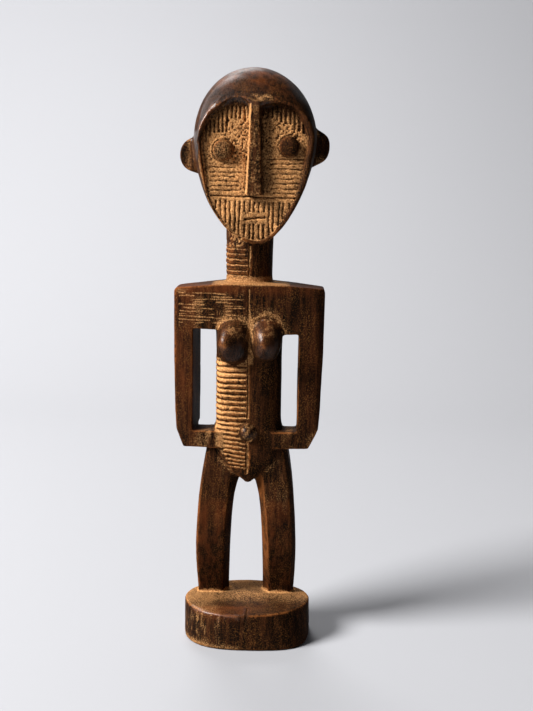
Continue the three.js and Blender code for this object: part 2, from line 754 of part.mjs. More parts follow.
function meshOf(body, name, material) {
  const { numProp, vertProperties, triVerts } = body.getMesh();
  const geometry = new THREE.BufferGeometry();
  const positions = new Float32Array((vertProperties.length / numProp) * 3);
  for (let i = 0; i < positions.length / 3; i += 1) {
    positions.set(vertProperties.subarray(i * numProp, i * numProp + 3), i * 3);
  }
  geometry.setAttribute("position", new THREE.BufferAttribute(positions, 3));
  geometry.setIndex(new THREE.BufferAttribute(new Uint32Array(triVerts), 1));
  geometry.computeVertexNormals();
  const mesh = new THREE.Mesh(geometry, material);
  mesh.name = name;
  return mesh;
}

const darkWood = new THREE.MeshStandardMaterial({ color: 0x4b3223, roughness: 0.55, metalness: 0 });
const group = new THREE.Group();
group.add(meshOf(figure(), "figure", darkWood));

export default group;
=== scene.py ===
import math

import bmesh
import bpy
import numpy as np
from mathutils import Matrix, Vector
from mathutils.kdtree import KDTree


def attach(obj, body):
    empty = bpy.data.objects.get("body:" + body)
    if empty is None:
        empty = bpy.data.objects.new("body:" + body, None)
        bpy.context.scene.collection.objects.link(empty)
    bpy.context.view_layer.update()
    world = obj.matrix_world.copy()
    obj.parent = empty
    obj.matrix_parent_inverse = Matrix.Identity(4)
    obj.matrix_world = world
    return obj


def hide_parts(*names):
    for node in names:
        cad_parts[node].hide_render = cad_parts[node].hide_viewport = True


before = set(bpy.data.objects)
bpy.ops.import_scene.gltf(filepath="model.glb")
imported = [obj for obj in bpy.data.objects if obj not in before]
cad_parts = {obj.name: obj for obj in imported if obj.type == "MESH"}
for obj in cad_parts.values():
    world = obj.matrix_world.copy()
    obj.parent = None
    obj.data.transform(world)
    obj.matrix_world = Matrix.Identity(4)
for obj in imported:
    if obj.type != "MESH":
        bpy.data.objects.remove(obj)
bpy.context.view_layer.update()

MM = 0.001

# Camera: its place and its turn in degrees, from the photograph's view of the base and the arms
CAMERA = {"ahead": 728.32, "height": 327.17, "aside": 11.48, "azimuth": 1.0, "pitch": 9.6, "roll": 1.0}
FOCAL_PIXELS = 1060.0
FRAME_HEIGHT_PIXELS = 711.0
SENSOR = 36.0
CLIP_METRES = (0.01, 50.0)

# Light: a soft lamp from the left and above and a weak one from behind, in watts, and a little
# light from all round
LAMPS = {
    "key": {"place": (-1910.0, -900.0, 1730.0), "target": (0.0, 0.0, 200.0), "size": 1100.0, "power": 190.0},
    "back": {"place": (-300.0, 1150.0, 1500.0), "target": (0.0, 0.0, 200.0), "size": 700.0, "power": 16.0},
}
ROOM_COLOUR = (0.94, 0.96, 1.0, 1.0)
ROOM_LIGHT = 0.03

# Floor: a sheet that runs from the front edge to the back and curves up there
SHEET = {"front": -1800.0, "back": 1400.0, "top": 2600.0, "radius": 700.0, "width": 7000.0, "steps": 16}

# The fine mesh. Rounds of smoothing are given for the full voxel and shrink with a larger one.
FULL_VOXEL = 0.5
VOXEL = FULL_VOXEL
FINENESS = (FULL_VOXEL / VOXEL) ** 2
MOST_TRIANGLES = 196000
WELD = 0.002
SHARP_ANGLE = math.radians(24.0)
SHARP_SPACING = 0.8
FARTHEST_REACH = 6.0
FACET_ROUNDS = 86
DEEPEN_ROUNDS = 8
HOLLOW_ROUNDS = 10
BROAD_ROUNDS = 60

# The head, as in the frame. The face's floor has a depth behind its rim at each of some heights,
# and the arches over the eyes have a height at each of some places across.
HEAD_ACROSS = 1.3
HEAD_TURN = math.radians(3.0)
FACE_FRONT = -27.0
CHIN = 284.0
FACE_FLOOR = ((280.0, 1.0), (314.2, 1.9), (340.0, 3.4), (372.2, 4.8), (380.0, 0.0))
ARCH = ((-36.0, 340.0), (-34.0, 352.0), (-33.5, 355.4), (-30.5, 361.4), (-26.1, 368.2), (-19.7, 373.9),
        (-11.8, 377.7), (-5.8, 376.8), (-2.4, 374.5), (5.4, 372.4), (12.1, 374.3), (16.6, 374.3),
        (25.6, 372.3), (31.6, 370.0), (35.7, 365.9), (38.3, 359.6), (39.5, 352.0))
LEFT_EYE = (-18.7, 343.4)
RIGHT_EYE = (24.1, 346.4)
PEG_RADIUS = 6.6
EYE_RING_RADIUS = 7.9
LEFT_EAR = {"middle": (-45.5, 341.0), "radii": (6.5, 10.0)}
RIGHT_EAR = {"middle": (46.0, 348.0), "radii": (5.5, 11.0)}
# Short upright strokes at the right of the nose's top: each one's foot, and where they all end
BROW_STROKES = ((8.7, 365.0), (11.7, 363.5), (14.6, 362.0))
BROW_STROKES_END = 372.5
BROW_DUST = {"middle": (5.4, 377.0), "radii": (9.0, 2.6)}

# The body
NAVEL = (1.2, 153.2)
NAVEL_RADII = (7.0, 7.2)
BREASTS = ((-11.2, 216.4), (11.5, 217.2))
BREAST_TIPS = ((-15.6, 213.6), (10.4, 213.6))
BREAST_HOLE = (0.3, 207.5)
# What hands have rubbed: its middle, its half width and half height, and how far back it reaches
RUBBED = ((BREASTS[0], (12.0, 16.0), -12.0), (BREASTS[1], (12.0, 16.0), -12.0), (NAVEL, (6.8, 7.0), -15.0))
# Dusty arcs round a breast: distance from its middle in its own radii, width, strength
BREAST_ARCS = ((1.06, 0.06, 1.0), (1.22, 0.04, 0.4), (1.36, 0.04, 0.3))
# The torso's half width at the left, at these heights
TORSO_LEFT = ((115.2, 2.0), (123.6, 13.0), (128.0, 17.4), (132.4, 20.9), (142.0, 22.9), (151.0, 24.0),
              (206.0, 24.0))
# Upright nicks at the ribs' outer ends, from and to
RIB_NICKS = (((-18.8, 178.0), (-17.6, 169.0)), ((-17.0, 170.5), (-16.0, 161.5)),
             ((-15.4, 164.5), (-14.2, 157.0)))
# Creases at the hips that hold dust: from, to, strength
CREASES = (((-25.3, 158.5), (-30.8, 137.9), 0.6), ((21.7, 131.0), (12.0, 124.0), 0.3),
           ((-21.5, 133.0), (-9.0, 120.5), 0.3), ((23.5, 152.0), (26.5, 137.0), 0.2))
# The cut line down the middle: heights where it shows
MIDLINE_RUNS = ((228.0, 253.0), (161.0, 206.0), (121.5, 148.0), (258.5, 281.0))
MIDLINE_SOFT = 0.5
SCRATCHES = {"count": 12, "top": 248.0, "step": 2.0, "half_width": 0.55}
# The drying crack over the base's front edge, from and to
CRACK = ((1.6, 29.0), (-0.6, 17.5))

# Places on the figure: how softly each one ends, and its spans
PLACES = {
    "face": (1.0, {"x": (-36.0, 41.0), "y": (-34.0, -19.0), "z": (283.0, 379.0)}),
    "face outline": (0.8, {"x": (-35.5, 40.0), "z": (CHIN, 379.0)}),
    "beside nose": (2.5, {"x": (-17.0, -3.0), "z": (336.0, 363.0)}),
    "over right eye": (2.0, {"x": (9.0, 31.0), "z": (349.5, 361.0)}),
    "nose and pegs": (1.0, {"x": (-27.0, 32.0), "y": (-40.0, -19.0), "z": (312.0, 373.0)}),
    "nose and peg tops": (1.0, {"x": (-26.0, 31.0), "y": (-40.0, -25.0), "z": (314.0, 372.0)}),
    "nose flank": (0.6, {"x": (-5.0, 0.0), "y": (-33.0, -21.0), "z": (314.0, 373.0)}),
    "nose shade": (3.0, {"x": (6.0, 11.0), "z": (318.0, 372.0)}),
    "line end": (2.0, {"x": (-31.0, -20.0), "z": (314.0, 318.0)}),
    "chin left": (3.0, {"x": (-13.0, 1.0), "z": (286.0, 297.0)}),
    "arch lip": (8.0, {"x": (-36.0, -24.0), "y": (-40.0, -4.0), "z": (350.0, 390.0)}),
    "dark brow": (4.0, {"x": (-36.0, 8.0)}),
    "polished brow": (5.0, {"x": (-40.0, 10.0)}),
    "ears": (1.0, {"z": (325.0, 366.0)}),
    "jaw chips": (1.5, {"x": (-21.0, -6.0), "y": (-30.0, 4.0), "z": (279.0, 289.0)}),
    "jaw chip dust": (1.0, {"x": (-21.0, -6.0), "y": (-30.0, 4.0), "z": (279.5, 289.0)}),
    "neck rings": (1.0, {"x": (-23.0, 3.0), "y": (-30.0, 12.0), "z": (257.0, 283.0)}),
    "neck ring dust": (0.7, {"x": (-24.0, 2.0), "y": (-30.0, 14.0), "z": (258.0, 281.0)}),
    "neck foot": (1.2, {"x": (-26.0, 26.0), "y": (-24.0, 14.0), "z": (254.6, 258.4)}),
    "shoulder edge": (1.2, {"y": (-20.0, -4.0), "z": (249.0, 258.0)}),
    "chest left": (0.6, {"x": (-48.5, -3.5), "y": (-20.0, -6.0), "z": (225.0, 249.0)}),
    "chest left dust": (1.0, {"x": (-50.0, -4.0), "z": (224.0, 250.5)}),
    "between breasts": (0.8, {"x": (-0.6, 2.2), "y": (-30.0, 0.0), "z": (200.0, 232.0)}),
    "under breasts": (3.0, {"x": (-22.0, 24.0), "y": (-30.0, -8.0), "z": (205.0, 212.0)}),
    "ribs": (1.0, {"x": (-27.0, 2.5), "y": (-30.0, 9.0), "z": (121.0, 206.0)}),
    "rib dust": (0.7, {"x": (-27.0, 0.2), "y": (-30.0, 8.0), "z": (121.0, 203.0)}),
    "top ribs": (3.0, {"x": (-20.0, -3.0), "z": (190.0, 206.0)}),
    "flank": (0.6, {"y": (-30.0, -4.0), "z": (156.0, 179.0)}),
    "midline": (MIDLINE_SOFT, {"x": (-0.9, 2.6), "y": (-30.0, 0.0)}),
    "right belly": (3.0, {"x": (4.0, 26.0), "y": (-30.0, 20.0), "z": (128.0, 206.0)}),
    "arm heights": (4.0, {"z": (152.0, 252.0)}),
    "hand heights": (1.0, {"z": (139.0, 153.5)}),
    "inner walls": (3.0, {"z": (30.0, 224.0)}),
    "legs": (3.0, {"z": (30.0, 134.0)}),
    "leg edges": (2.0, {"z": (28.0, 128.0)}),
    "thighs": (8.0, {"y": (-40.0, 0.0), "z": (96.0, 130.0)}),
    "knees": (6.0, {"z": (90.0, 98.0)}),
    "shins": (5.0, {"z": (35.0, 90.0)}),
    "feet": (2.5, {"z": (24.0, 30.0)}),
    "base front": (0.5, {"y": (-45.0, -20.0), "z": (0.0, 40.0)}),
    "base top": (1.2, {"z": (25.0, 30.0)}),
    "base front edge": (1.5, {"y": (-45.0, -18.0), "z": (23.0, 29.0)}),
    "base front rim": (1.2, {"y": (-45.0, -16.0), "z": (23.0, 27.6)}),
    "base blade marks": (1.0, {"z": (1.5, 25.0)}),
    "base side dust": (0.8, {"z": (0.0, 24.8)}),
    "base side grime": (1.0, {"z": (0.0, 25.0)}),
    "base foot": (2.0, {"z": (-1.0, 2.2)}),
}

# Each kind of unevenness has its own seed
SEEDS = {"swell": 3, "scoops": 11, "floor": 31, "floor hills": 33, "bar": 35, "bar hills": 36, "pits": 37,
         "edge chips": 41, "scratch sway": 51, "jaw chips": 61, "scratch gaps": 71, "blade marks": 81,
         "patchy": 91, "fine": 95, "streaky": 97, "mottled": 99, "drift across": 301, "drift upwards": 311}

# Colours, 0 to 255 as on a screen
COLOURS = {
    "dark grain": (12, 7, 4), "light grain": (60, 33, 17), "pores": (9, 6, 4), "brown blotch": (78, 43, 21),
    "warm wood": (90, 44, 20), "dark blotch": (14, 8, 5), "blackish brown": (14, 9, 6), "rubbed wood and highlight": (138, 80, 38),
    "grit": (124, 82, 42), "dark sand": (158, 101, 53), "light sand": (219, 164, 107),
    "paper": (160, 160, 163),
}


# Small helpers for fields of numbers over the mesh's points

def smooth_step(low, high, values):
    """0 below low, 1 above high, with a soft run between them."""
    t = np.clip((values - low) / (high - low), 0.0, 1.0)
    return t * t * (3.0 - 2.0 * t)


def window(low, high, soft, values):
    """1 between low and high, falling to 0 over soft on both sides."""
    return smooth_step(low - soft, low, values) * (1.0 - smooth_step(high, high + soft, values))


def lattice(cell, seed):
    """A number from 0 to 1 for each whole-numbered cell corner, the same on every run."""
    x, y, z = (cell[:, i].astype(np.int64).astype(np.uint32) for i in range(3))
    h = x * np.uint32(0x8DA6B343) ^ y * np.uint32(0xD8163841) ^ z * np.uint32(0xCB1AB31F)
    h = h ^ np.uint32((seed * 0x9E3779B1) & 0xFFFFFFFF)
    h ^= h >> np.uint32(13)
    h *= np.uint32(0x5BD1E995)
    h ^= h >> np.uint32(15)
    h *= np.uint32(0x27D4EB2D)
    h ^= h >> np.uint32(13)
    return h.astype(np.float64) / 2.0**32


def noise(points, size, seed, octaves=1):
    """Smooth noise from -1 to 1. size is one length, or one for each axis."""
    octave_shift = 17.3
    total = np.zeros(len(points))
    weight, reach = 1.0, 0.0
    scaled = points / np.asarray(size, float)
    for octave in range(octaves):
        at = scaled * 2.0**octave + octave_shift * octave
        low = np.floor(at)
        t = at - low
        t = t * t * t * (t * (t * 6.0 - 15.0) + 10.0)
        for corner in np.ndindex(2, 2, 2):
            share = np.prod(np.where(corner, t, 1.0 - t), axis=1)
            total += weight * share * (2.0 * lattice(low + corner, seed + octave) - 1.0)
        reach += weight
        weight *= 0.5
    return total / reach


def scoops(points, size, seed):
    """Shallow scoops left by a blade: 0 in each one's middle, rising to about 1 at the ridges."""
    farther_than_any = 9.0
    at = points / np.asarray(size, float)
    low = np.floor(at)
    nearest = np.full(len(points), farther_than_any)
    for step in np.ndindex(3, 3, 3):
        cell = low + np.array(step) - 1.0
        middle = np.stack([lattice(cell, seed + k) for k in range(3)], axis=1) + cell
        nearest = np.minimum(nearest, ((at - middle) ** 2).sum(axis=1))
    return np.minimum(nearest, 1.0)


def along(stations, place):
    """Reads a run of (place, size) stations with straight stretches between them."""
    places, sizes = zip(*stations)
    return np.interp(place, places, sizes)


def stroke(points, start, end, half_width, run_out=1.5):
    """How deep a straight cut goes at each point, from 0 to 1, seen from the front."""
    blunt = 0.3
    a, b = np.array(start, float), np.array(end, float)
    flat = points[:, (0, 2)]
    way = b - a
    length = np.linalg.norm(way)
    way = way / length
    share = (flat - a) @ way
    nearest = a + np.clip(share, 0.0, length)[:, None] * way
    distance = np.linalg.norm(flat - nearest, axis=1)
    ends = np.clip(np.minimum(share, length - share) / run_out + blunt, 0.0, 1.0)
    return np.clip(1.0 - distance / half_width, 0.0, 1.0) * ends


def within(points, name):
    """1 inside one of the PLACES, falling to 0 around it."""
    soft, spans = PLACES[name]
    share = np.ones(len(points))
    for axis, letter in enumerate("xyz"):
        if letter in spans:
            low, high = spans[letter]
            share *= window(low, high, soft, points[:, axis])
    return share


def only(share, points, make):
    """share times make(points), worked out only where share is more than nothing."""
    out = np.zeros(len(points))
    inside = np.flatnonzero(share > 0.002)
    if len(inside):
        out[inside] = share[inside] * make(points[inside])
    return out


def away_from(points, middle):
    """Distance from a (across, height) place, seen from the front."""
    return np.hypot(points[:, 0] - middle[0], points[:, 2] - middle[1])


def oval(points, middle, radii):
    """Distance from an upright oval's middle seen from the front, 1 on its outline."""
    across = (points[:, 0] - middle[0]) / radii[0]
    upward = (points[:, 2] - middle[1]) / radii[1]
    return np.hypot(across, upward)


def bump_at(value, middle, width):
    """1 where value is at middle, falling off smoothly over width on both sides."""
    return np.exp(-(((value - middle) / width) ** 2))


def dome(distance):
    """1 in the middle, falling as a round dome to 0 at a distance of 1."""
    return np.clip(1.0 - distance**2, 0.0, 1.0)


def most_of(*fields):
    """The highest of several fields at each point."""
    found = fields[0]
    for field in fields[1:]:
        found = np.maximum(found, field)
    return found


# The mesh that carries the carving

def points_of(mesh):
    found = np.empty(len(mesh.vertices) * 3, np.float32)
    mesh.vertices.foreach_get("co", found)
    return found.reshape(-1, 3).astype(np.float64) / MM


def put_points(mesh, points):
    mesh.vertices.foreach_set("co", (points * MM).astype(np.float32).ravel())
    mesh.update()


def normals_of(mesh):
    found = np.empty(len(mesh.vertices) * 3, np.float32)
    mesh.vertex_normals.foreach_get("vector", found)
    return found.reshape(-1, 3).astype(np.float64)


def edges_of(mesh):
    found = np.empty(len(mesh.edges) * 2, np.int32)
    mesh.edges.foreach_get("vertices", found)
    return found.reshape(-1, 2)


def blurred(values, edges, rounds, share=0.5):
    """values moved towards their neighbours' mean; share is one number or one for each point."""
    a, b = edges.T
    count = len(values)
    neighbours = np.bincount(a, minlength=count) + np.bincount(b, minlength=count)
    flat = values.reshape(count, -1).copy()
    part = np.broadcast_to(share, (count,))
    for _ in range(rounds):
        for k in range(flat.shape[1]):
            column = flat[:, k]
            total = np.bincount(a, column[b], count) + np.bincount(b, column[a], count)
            column += part * (total / neighbours - column)
    return flat.reshape(values.shape)


def rounds_for(full_rounds):
    """Rounds of smoothing that reach as far on this mesh as full_rounds do on the full one."""
    return max(2, int(full_rounds * FINENESS))


def apply_modifiers(piece):
    graph = bpy.context.evaluated_depsgraph_get()
    mesh = bpy.data.meshes.new_from_object(piece.evaluated_get(graph), depsgraph=graph)
    piece.modifiers.clear()
    old, piece.data = piece.data, mesh
    bpy.data.meshes.remove(old)
    mesh.name = piece.name


def clean_copy(node, name):
    """A new piece with the node's own mesh, its split corners joined again."""
    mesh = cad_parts[node].data.copy()
    bm = bmesh.new()
    bm.from_mesh(mesh)
    bmesh.ops.remove_doubles(bm, verts=bm.verts, dist=WELD * MM)
    bm.to_mesh(mesh)
    bm.free()
    mesh.materials.clear()
    mesh.name = name
    piece = bpy.data.objects.new(name, mesh)
    bpy.context.scene.collection.objects.link(piece)
    return piece


def sharp_edge_points(mesh, least_angle, spacing):
    """Points along the edges where two faces of the mesh meet at more than an angle."""
    bm = bmesh.new()
    bm.from_mesh(mesh)
    found = []
    for edge in bm.edges:
        if len(edge.link_faces) == 2 and edge.calc_face_angle(0.0) > least_angle:
            a, b = (v.co / MM for v in edge.verts)
            steps = max(1, int((b - a).length / spacing))
            found += [a.lerp(b, i / steps) for i in range(steps + 1)]
    bm.free()
    return found


def distance_to(spots, points, most):
    """Each point's distance to the nearest spot, no more than most."""
    tree = KDTree(len(spots))
    for i, spot in enumerate(spots):
        tree.insert(spot, i)
    tree.balance()
    found = np.full(len(points), most)
    for i, point in enumerate(points.tolist()):
        _, _, distance = tree.find(point)
        if distance < most:
            found[i] = distance
    return found


def even_out_facets(piece):
    """Remeshes finely and smooths the facets away, but not the carved edges."""
    spots = sharp_edge_points(piece.data, SHARP_ANGLE, SHARP_SPACING)
    remesh = piece.modifiers.new("remesh", "REMESH")
    remesh.mode = "VOXEL"
    remesh.voxel_size = VOXEL * MM
    apply_modifiers(piece)
    points = points_of(piece.data)
    edges = edges_of(piece.data)
    reach = distance_to(spots, points, FARTHEST_REACH)
    # cuts stay as they are, other edges are a little worn, and the round forms are soft
    share = 0.08 * (1.0 - cut_places(points)) + 0.3 * soft_places(points)
    share = np.maximum(share, smooth_step(0.7, 2.6, reach))
    points = blurred(points, edges, rounds_for(FACET_ROUNDS), 0.9 * share)
    points = blurred(points, edges, 1)
    put_points(piece.data, points)
    return reach


# Where things are on the figure, from 0 to 1

def cut_places(points):
    """Where cuts stand close together: the face, the neck's rings and the ribs."""
    face = within(points, "face") * smooth_step(0.1, 0.8, face_drop(points))
    return most_of(face, within(points, "neck rings"), within(points, "ribs"))


def soft_places(points):
    """The breasts and the ears, whose outlines are softer than other edges."""
    breast_radii, breasts_back = (13.0, 17.0), -8.0
    ear_radii = (8.0, 17.0)
    front = points[:, 1] < breasts_back
    share = np.zeros(len(points))
    for middle in BREASTS:
        share = np.maximum(share, front * (1.0 - smooth_step(1.0, 1.25, oval(points, middle, breast_radii))))
    for ear in (LEFT_EAR, RIGHT_EAR):
        share = np.maximum(share, 1.0 - smooth_step(1.0, 1.3, oval(points, ear["middle"], ear_radii)))
    return share


def face_drop(points):
    """How far a point lies behind the level of the face's rim."""
    turned = (points[:, 0] - HEAD_ACROSS) * math.tan(HEAD_TURN)
    return points[:, 1] - FACE_FRONT - turned


def above_arch(points):
    """Height above the arches over the eyes."""
    return points[:, 2] - along(ARCH, points[:, 0])


def in_face(points, normals):
    """The floor of the sunken face and what is cut into it."""
    shallowest = 0.8
    deepest_cut = (2.2, 3.4)
    drop = face_drop(points)
    floor = np.maximum(along(FACE_FLOOR, points[:, 2]), shallowest)
    deep = smooth_step(0.3, 0.6, drop / floor)
    deep *= 1.0 - smooth_step(floor + deepest_cut[0], floor + deepest_cut[1], drop)
    under_arch = 1.0 - smooth_step(-0.4, 0.7, above_arch(points))
    facing = smooth_step(-0.1, -0.45, normals[:, 1])
    return deep * under_arch * within(points, "face outline") * facing


def facing_front(normals):
    return smooth_step(-0.45, -0.75, normals[:, 1])


# The carving that is finer than the solid's facets

def drift(points, share):
    """Sideways wandering of the cuts, as of a hand-held blade."""
    shift = np.zeros_like(points)
    for axis, seed in ((0, SEEDS["drift across"]), (2, SEEDS["drift upwards"])):
        shift[:, axis] = only(share, points, lambda p: 0.2 * noise(p, 2.4, seed) + 0.22 * noise(p, 6.0, seed))
    return shift


def rough_floor(points):
    return 0.2 * noise(points, 1.4, SEEDS["floor"], 2) + 0.16 * noise(points, 3.6, SEEDS["floor hills"])


def rough_bar(points):
    return 0.1 * noise(points, 1.3, SEEDS["bar"], 2) + 0.12 * noise(points, 4.0, SEEDS["bar hills"])


def face_relief(points, face):
    """Rough floor, pits beside the nose and the eyes, raised rings and small strokes."""
    x, y, z = points.T
    out = only(face, points, rough_floor)
    few_pits = 0.22
    pitted = face * most_of(within(points, "beside nose"), within(points, "over right eye"), few_pits)
    out -= only(pitted, points, lambda p: 1.3 * np.maximum(0.0, noise(p, 1.15, SEEDS["pits"]) - 0.12))
    # a ring round each eye, highest at its upper left
    for eye, height in ((LEFT_EYE, 0.85), (RIGHT_EYE, 0.3)):
        away = away_from(points, eye)
        lower_right = (eye[1] - z + x - eye[0]) / np.maximum(away, 1.0)
        ring = height * face * bump_at(away, EYE_RING_RADIUS, 0.9)
        out += ring * (0.35 + 0.65 * smooth_step(0.4, -1.0, lower_right))
    # the pegs' rounded tops
    for eye in (LEFT_EYE, RIGHT_EYE):
        proud = smooth_step(0.5, -0.5, face_drop(points)) * (y < 0.0)
        out += 0.9 * proud * dome(away_from(points, eye) / PEG_RADIUS)
    out += only(within(points, "nose and pegs") * (1.0 - face), points, rough_bar)
    for across, foot in BROW_STROKES:
        out -= 0.4 * face * stroke(points, (across, foot), (across + 0.2, BROW_STROKES_END), 0.55)
    return out


def base_crack(points, half_width):
    """The drying crack over the base's front edge."""
    return within(points, "base front") * stroke(points, *CRACK, half_width, 2.0)


def beside_crack(points):
    """The crack and what lies close to it."""
    return np.minimum(1.0, 2.0 * base_crack(points, 2.0))


def chest_scratches(points):
    """Faint level scratches on the left side of the chest, most of them broken."""
    out = np.zeros(len(points))
    for i in range(SCRATCHES["count"]):
        level = SCRATCHES["top"] - SCRATCHES["step"] * i
        sway = 0.35 * np.sin(0.13 * points[:, 0] + 1.7 * i)
        sway = sway + 0.3 * noise(points, 6.0, SEEDS["scratch sway"] + i)
        off = np.abs(points[:, 2] - level - sway)
        line = np.clip(1.0 - off / SCRATCHES["half_width"], 0.0, 1.0)
        unbroken = noise(points, (7.0, 7.0, 2.4), SEEDS["scratch gaps"] + i)
        out += line * smooth_step(-0.2, 0.4, unbroken)
    return out


def edge_chips(points):
    return 0.8 * np.maximum(0.0, noise(points, (3.4, 3.4, 4.6), SEEDS["edge chips"], 2) - 0.34)


def jaw_chips(points):
    return 0.9 * np.maximum(0.0, noise(points, 2.2, SEEDS["jaw chips"], 2) - 0.05)


def blade_marks(points):
    return 0.22 * np.maximum(0.0, noise(points, (2.6, 2.6, 26.0), SEEDS["blade marks"]))


def small_relief(points, normals, reach, face):
    """How far each point moves outwards along its normal, in millimetres."""
    y, z = points[:, 1], points[:, 2]
    front = facing_front(normals)
    plain = 1.0 - face
    out = 0.2 * noise(points, (17.0, 17.0, 26.0), SEEDS["swell"], 2)
    out += 0.09 * plain * (scoops(points, (5.0, 5.0, 11.0), SEEDS["scoops"]) - 0.4)
    out += face_relief(points, face)
    # chips along the worn edges
    out -= only(plain * (1.0 - smooth_step(0.4, 1.8, reach)), points, edge_chips)
    out -= 0.16 * only(front * within(points, "chest left"), points, chest_scratches)
    flank = front * within(points, "flank")
    for start, end in RIB_NICKS:
        out -= 0.4 * flank * stroke(points, start, end, 0.7)
    # a small round hole between the breasts
    hole = away_from(points, BREAST_HOLE)
    out -= 1.6 * front * (y < -8.0) * np.clip(1.0 - hole / 1.1, 0.0, 1.0)
    # the breasts come to a soft point that leans to the left
    for tip in BREAST_TIPS:
        out += 1.9 * (y < -14.0) * np.clip(1.0 - away_from(points, tip) / 7.5, 0.0, 1.0) ** 1.4
    # rough chips where the neck meets the jaw
    out -= only(within(points, "jaw chips"), points, jaw_chips)
    out -= 0.9 * base_crack(points, 0.6)
    # upright blade marks round the side of the base
    side = within(points, "base blade marks") * (np.abs(normals[:, 2]) < 0.4)
    out -= only(side, points, blade_marks)
    # the ears are a little dished in front
    for ear in (LEFT_EAR, RIGHT_EAR):
        dish = dome(oval(points, ear["middle"], ear["radii"]))
        out -= 1.2 * (normals[:, 1] < -0.2) * dish * (y < 10.0)
    # the left arch has a rounded lip
    lip = within(points, "arch lip") * plain
    out += 0.9 * lip * bump_at(above_arch(points), 2.6, 1.9)
    # the underside stays flat
    return out * smooth_step(0.0, 1.2, z)


def deepened(points, edges, share):
    """The points moved away from their neighbourhood's mean, which brings worn-down cuts back."""
    near = blurred(points, edges, rounds_for(DEEPEN_ROUNDS))
    return (points - near) * share[:, None]


# Colour fields, kept on the mesh's points for the wood's shader

class Surface:
    """What the colours depend on: place, facing, how hollow the surface is, and a few noises."""

    def __init__(self, points, normals, edges, face):
        self.points, self.face = points, face
        self.x, self.y, self.z = points.T
        self.nx, self.ny, self.nz = normals.T
        self.front = facing_front(normals)
        self.above_arch = above_arch(points)
        near = blurred(points, edges, rounds_for(HOLLOW_ROUNDS))
        wide = blurred(near, edges, rounds_for(BROAD_ROUNDS))
        self.hollow = ((near - points) * normals).sum(axis=1)
        self.broad = ((wide - points) * normals).sum(axis=1)
        self.groove = smooth_step(0.02, 0.14, self.hollow)
        self.ridge = smooth_step(0.01, 0.08, -self.hollow)
        self.patchy = self.unevenness((9.0, 9.0, 12.0), "patchy", 3)
        self.fine = self.unevenness(1.4, "fine", 2)
        self.streaky = self.unevenness((1.5, 1.5, 15.0), "streaky", 2)
        self.mottled = self.unevenness(4.2, "mottled", 3)

    def unevenness(self, size, name, octaves):
        """Noise from 0 to 1."""
        return 0.5 + 0.5 * noise(self.points, size, SEEDS[name], octaves)

    def at(self, name):
        return within(self.points, name)

    def oval(self, middle, radii):
        return oval(self.points, middle, radii)


def face_dust_and_painted_shade(s):
    """Thin in the floor's grooves, under the arches and to the right, which paints the grooves' shade, the
    arches' shadow and, in part, the shade on the face's right; a little thicker on the ridges, a painted
    highlight. A little on nose and pegs.
    """
    thick = 0.7 + 0.3 * smooth_step(0.3, 0.7, s.patchy)
    # painted shade in the grooves and a painted highlight on the ridges
    thick *= 1.0 - 0.8 * s.groove
    thick += 0.1 * s.ridge
    # painted shadow under the arches
    thick *= 0.12 + 0.88 * smooth_step(1.0, 15.0, -s.above_arch)
    # thinner to the right, partly a painted shade where the light falls off
    thick *= 1.0 - 0.45 * smooth_step(22.0, 36.0, s.x)
    thick *= 1.0 - 0.75 * smooth_step(-0.3, -0.65, s.nx) * (s.x > 18.0)
    thick *= 0.62 + 0.5 * smooth_step(0.35, 0.65, 0.5 * s.mottled + 0.5 * s.fine)
    for name, less in (("chin left", 0.4), ("nose shade", 0.4), ("line end", 0.3)):
        thick *= 1.0 - less * s.at(name)
    flank = s.at("nose flank") * smooth_step(-0.35, -0.7, s.nx)
    tops = s.at("nose and peg tops") * (1.0 - s.face)
    # none on the right peg, part of its painted shade
    grey = tops * (0.05 + 0.14 * smooth_step(0.35, 0.7, s.fine)) * (1.0 - smooth_step(10.0, 16.0, s.x))
    left_peg = 1.0 - smooth_step(0.9, 1.1, s.oval(LEFT_EYE, (7.0, 7.0)))
    return most_of(s.face * thick, 0.75 * flank, grey, 0.15 * tops * left_peg)


def rib_dust_highlight_and_shade(s, leftwards, lit_wall, shaded_wall):
    """On the ribs' upper walls and at the left, not on the navel and not past the torso's side. Thicker on
    walls that face up, partly a painted highlight, and thinner on walls that face down and in the grooves, a
    painted shade.
    """
    side = -along(TORSO_LEFT, s.z)
    ribs = s.at("rib dust") * smooth_step(side, side + 1.5, s.x)
    thick = 0.02 + 0.35 * leftwards + 0.65 * lit_wall - 0.8 * shaded_wall - 0.3 * s.groove
    thick += 0.5 * (s.patchy - 0.5) + 0.6 * (s.fine - 0.5)
    thick += 0.4 * s.at("top ribs")
    off_navel = smooth_step(0.95, 1.15, s.oval(NAVEL, NAVEL_RADII))
    return ribs * off_navel * np.clip(thick, 0.0, 0.95)


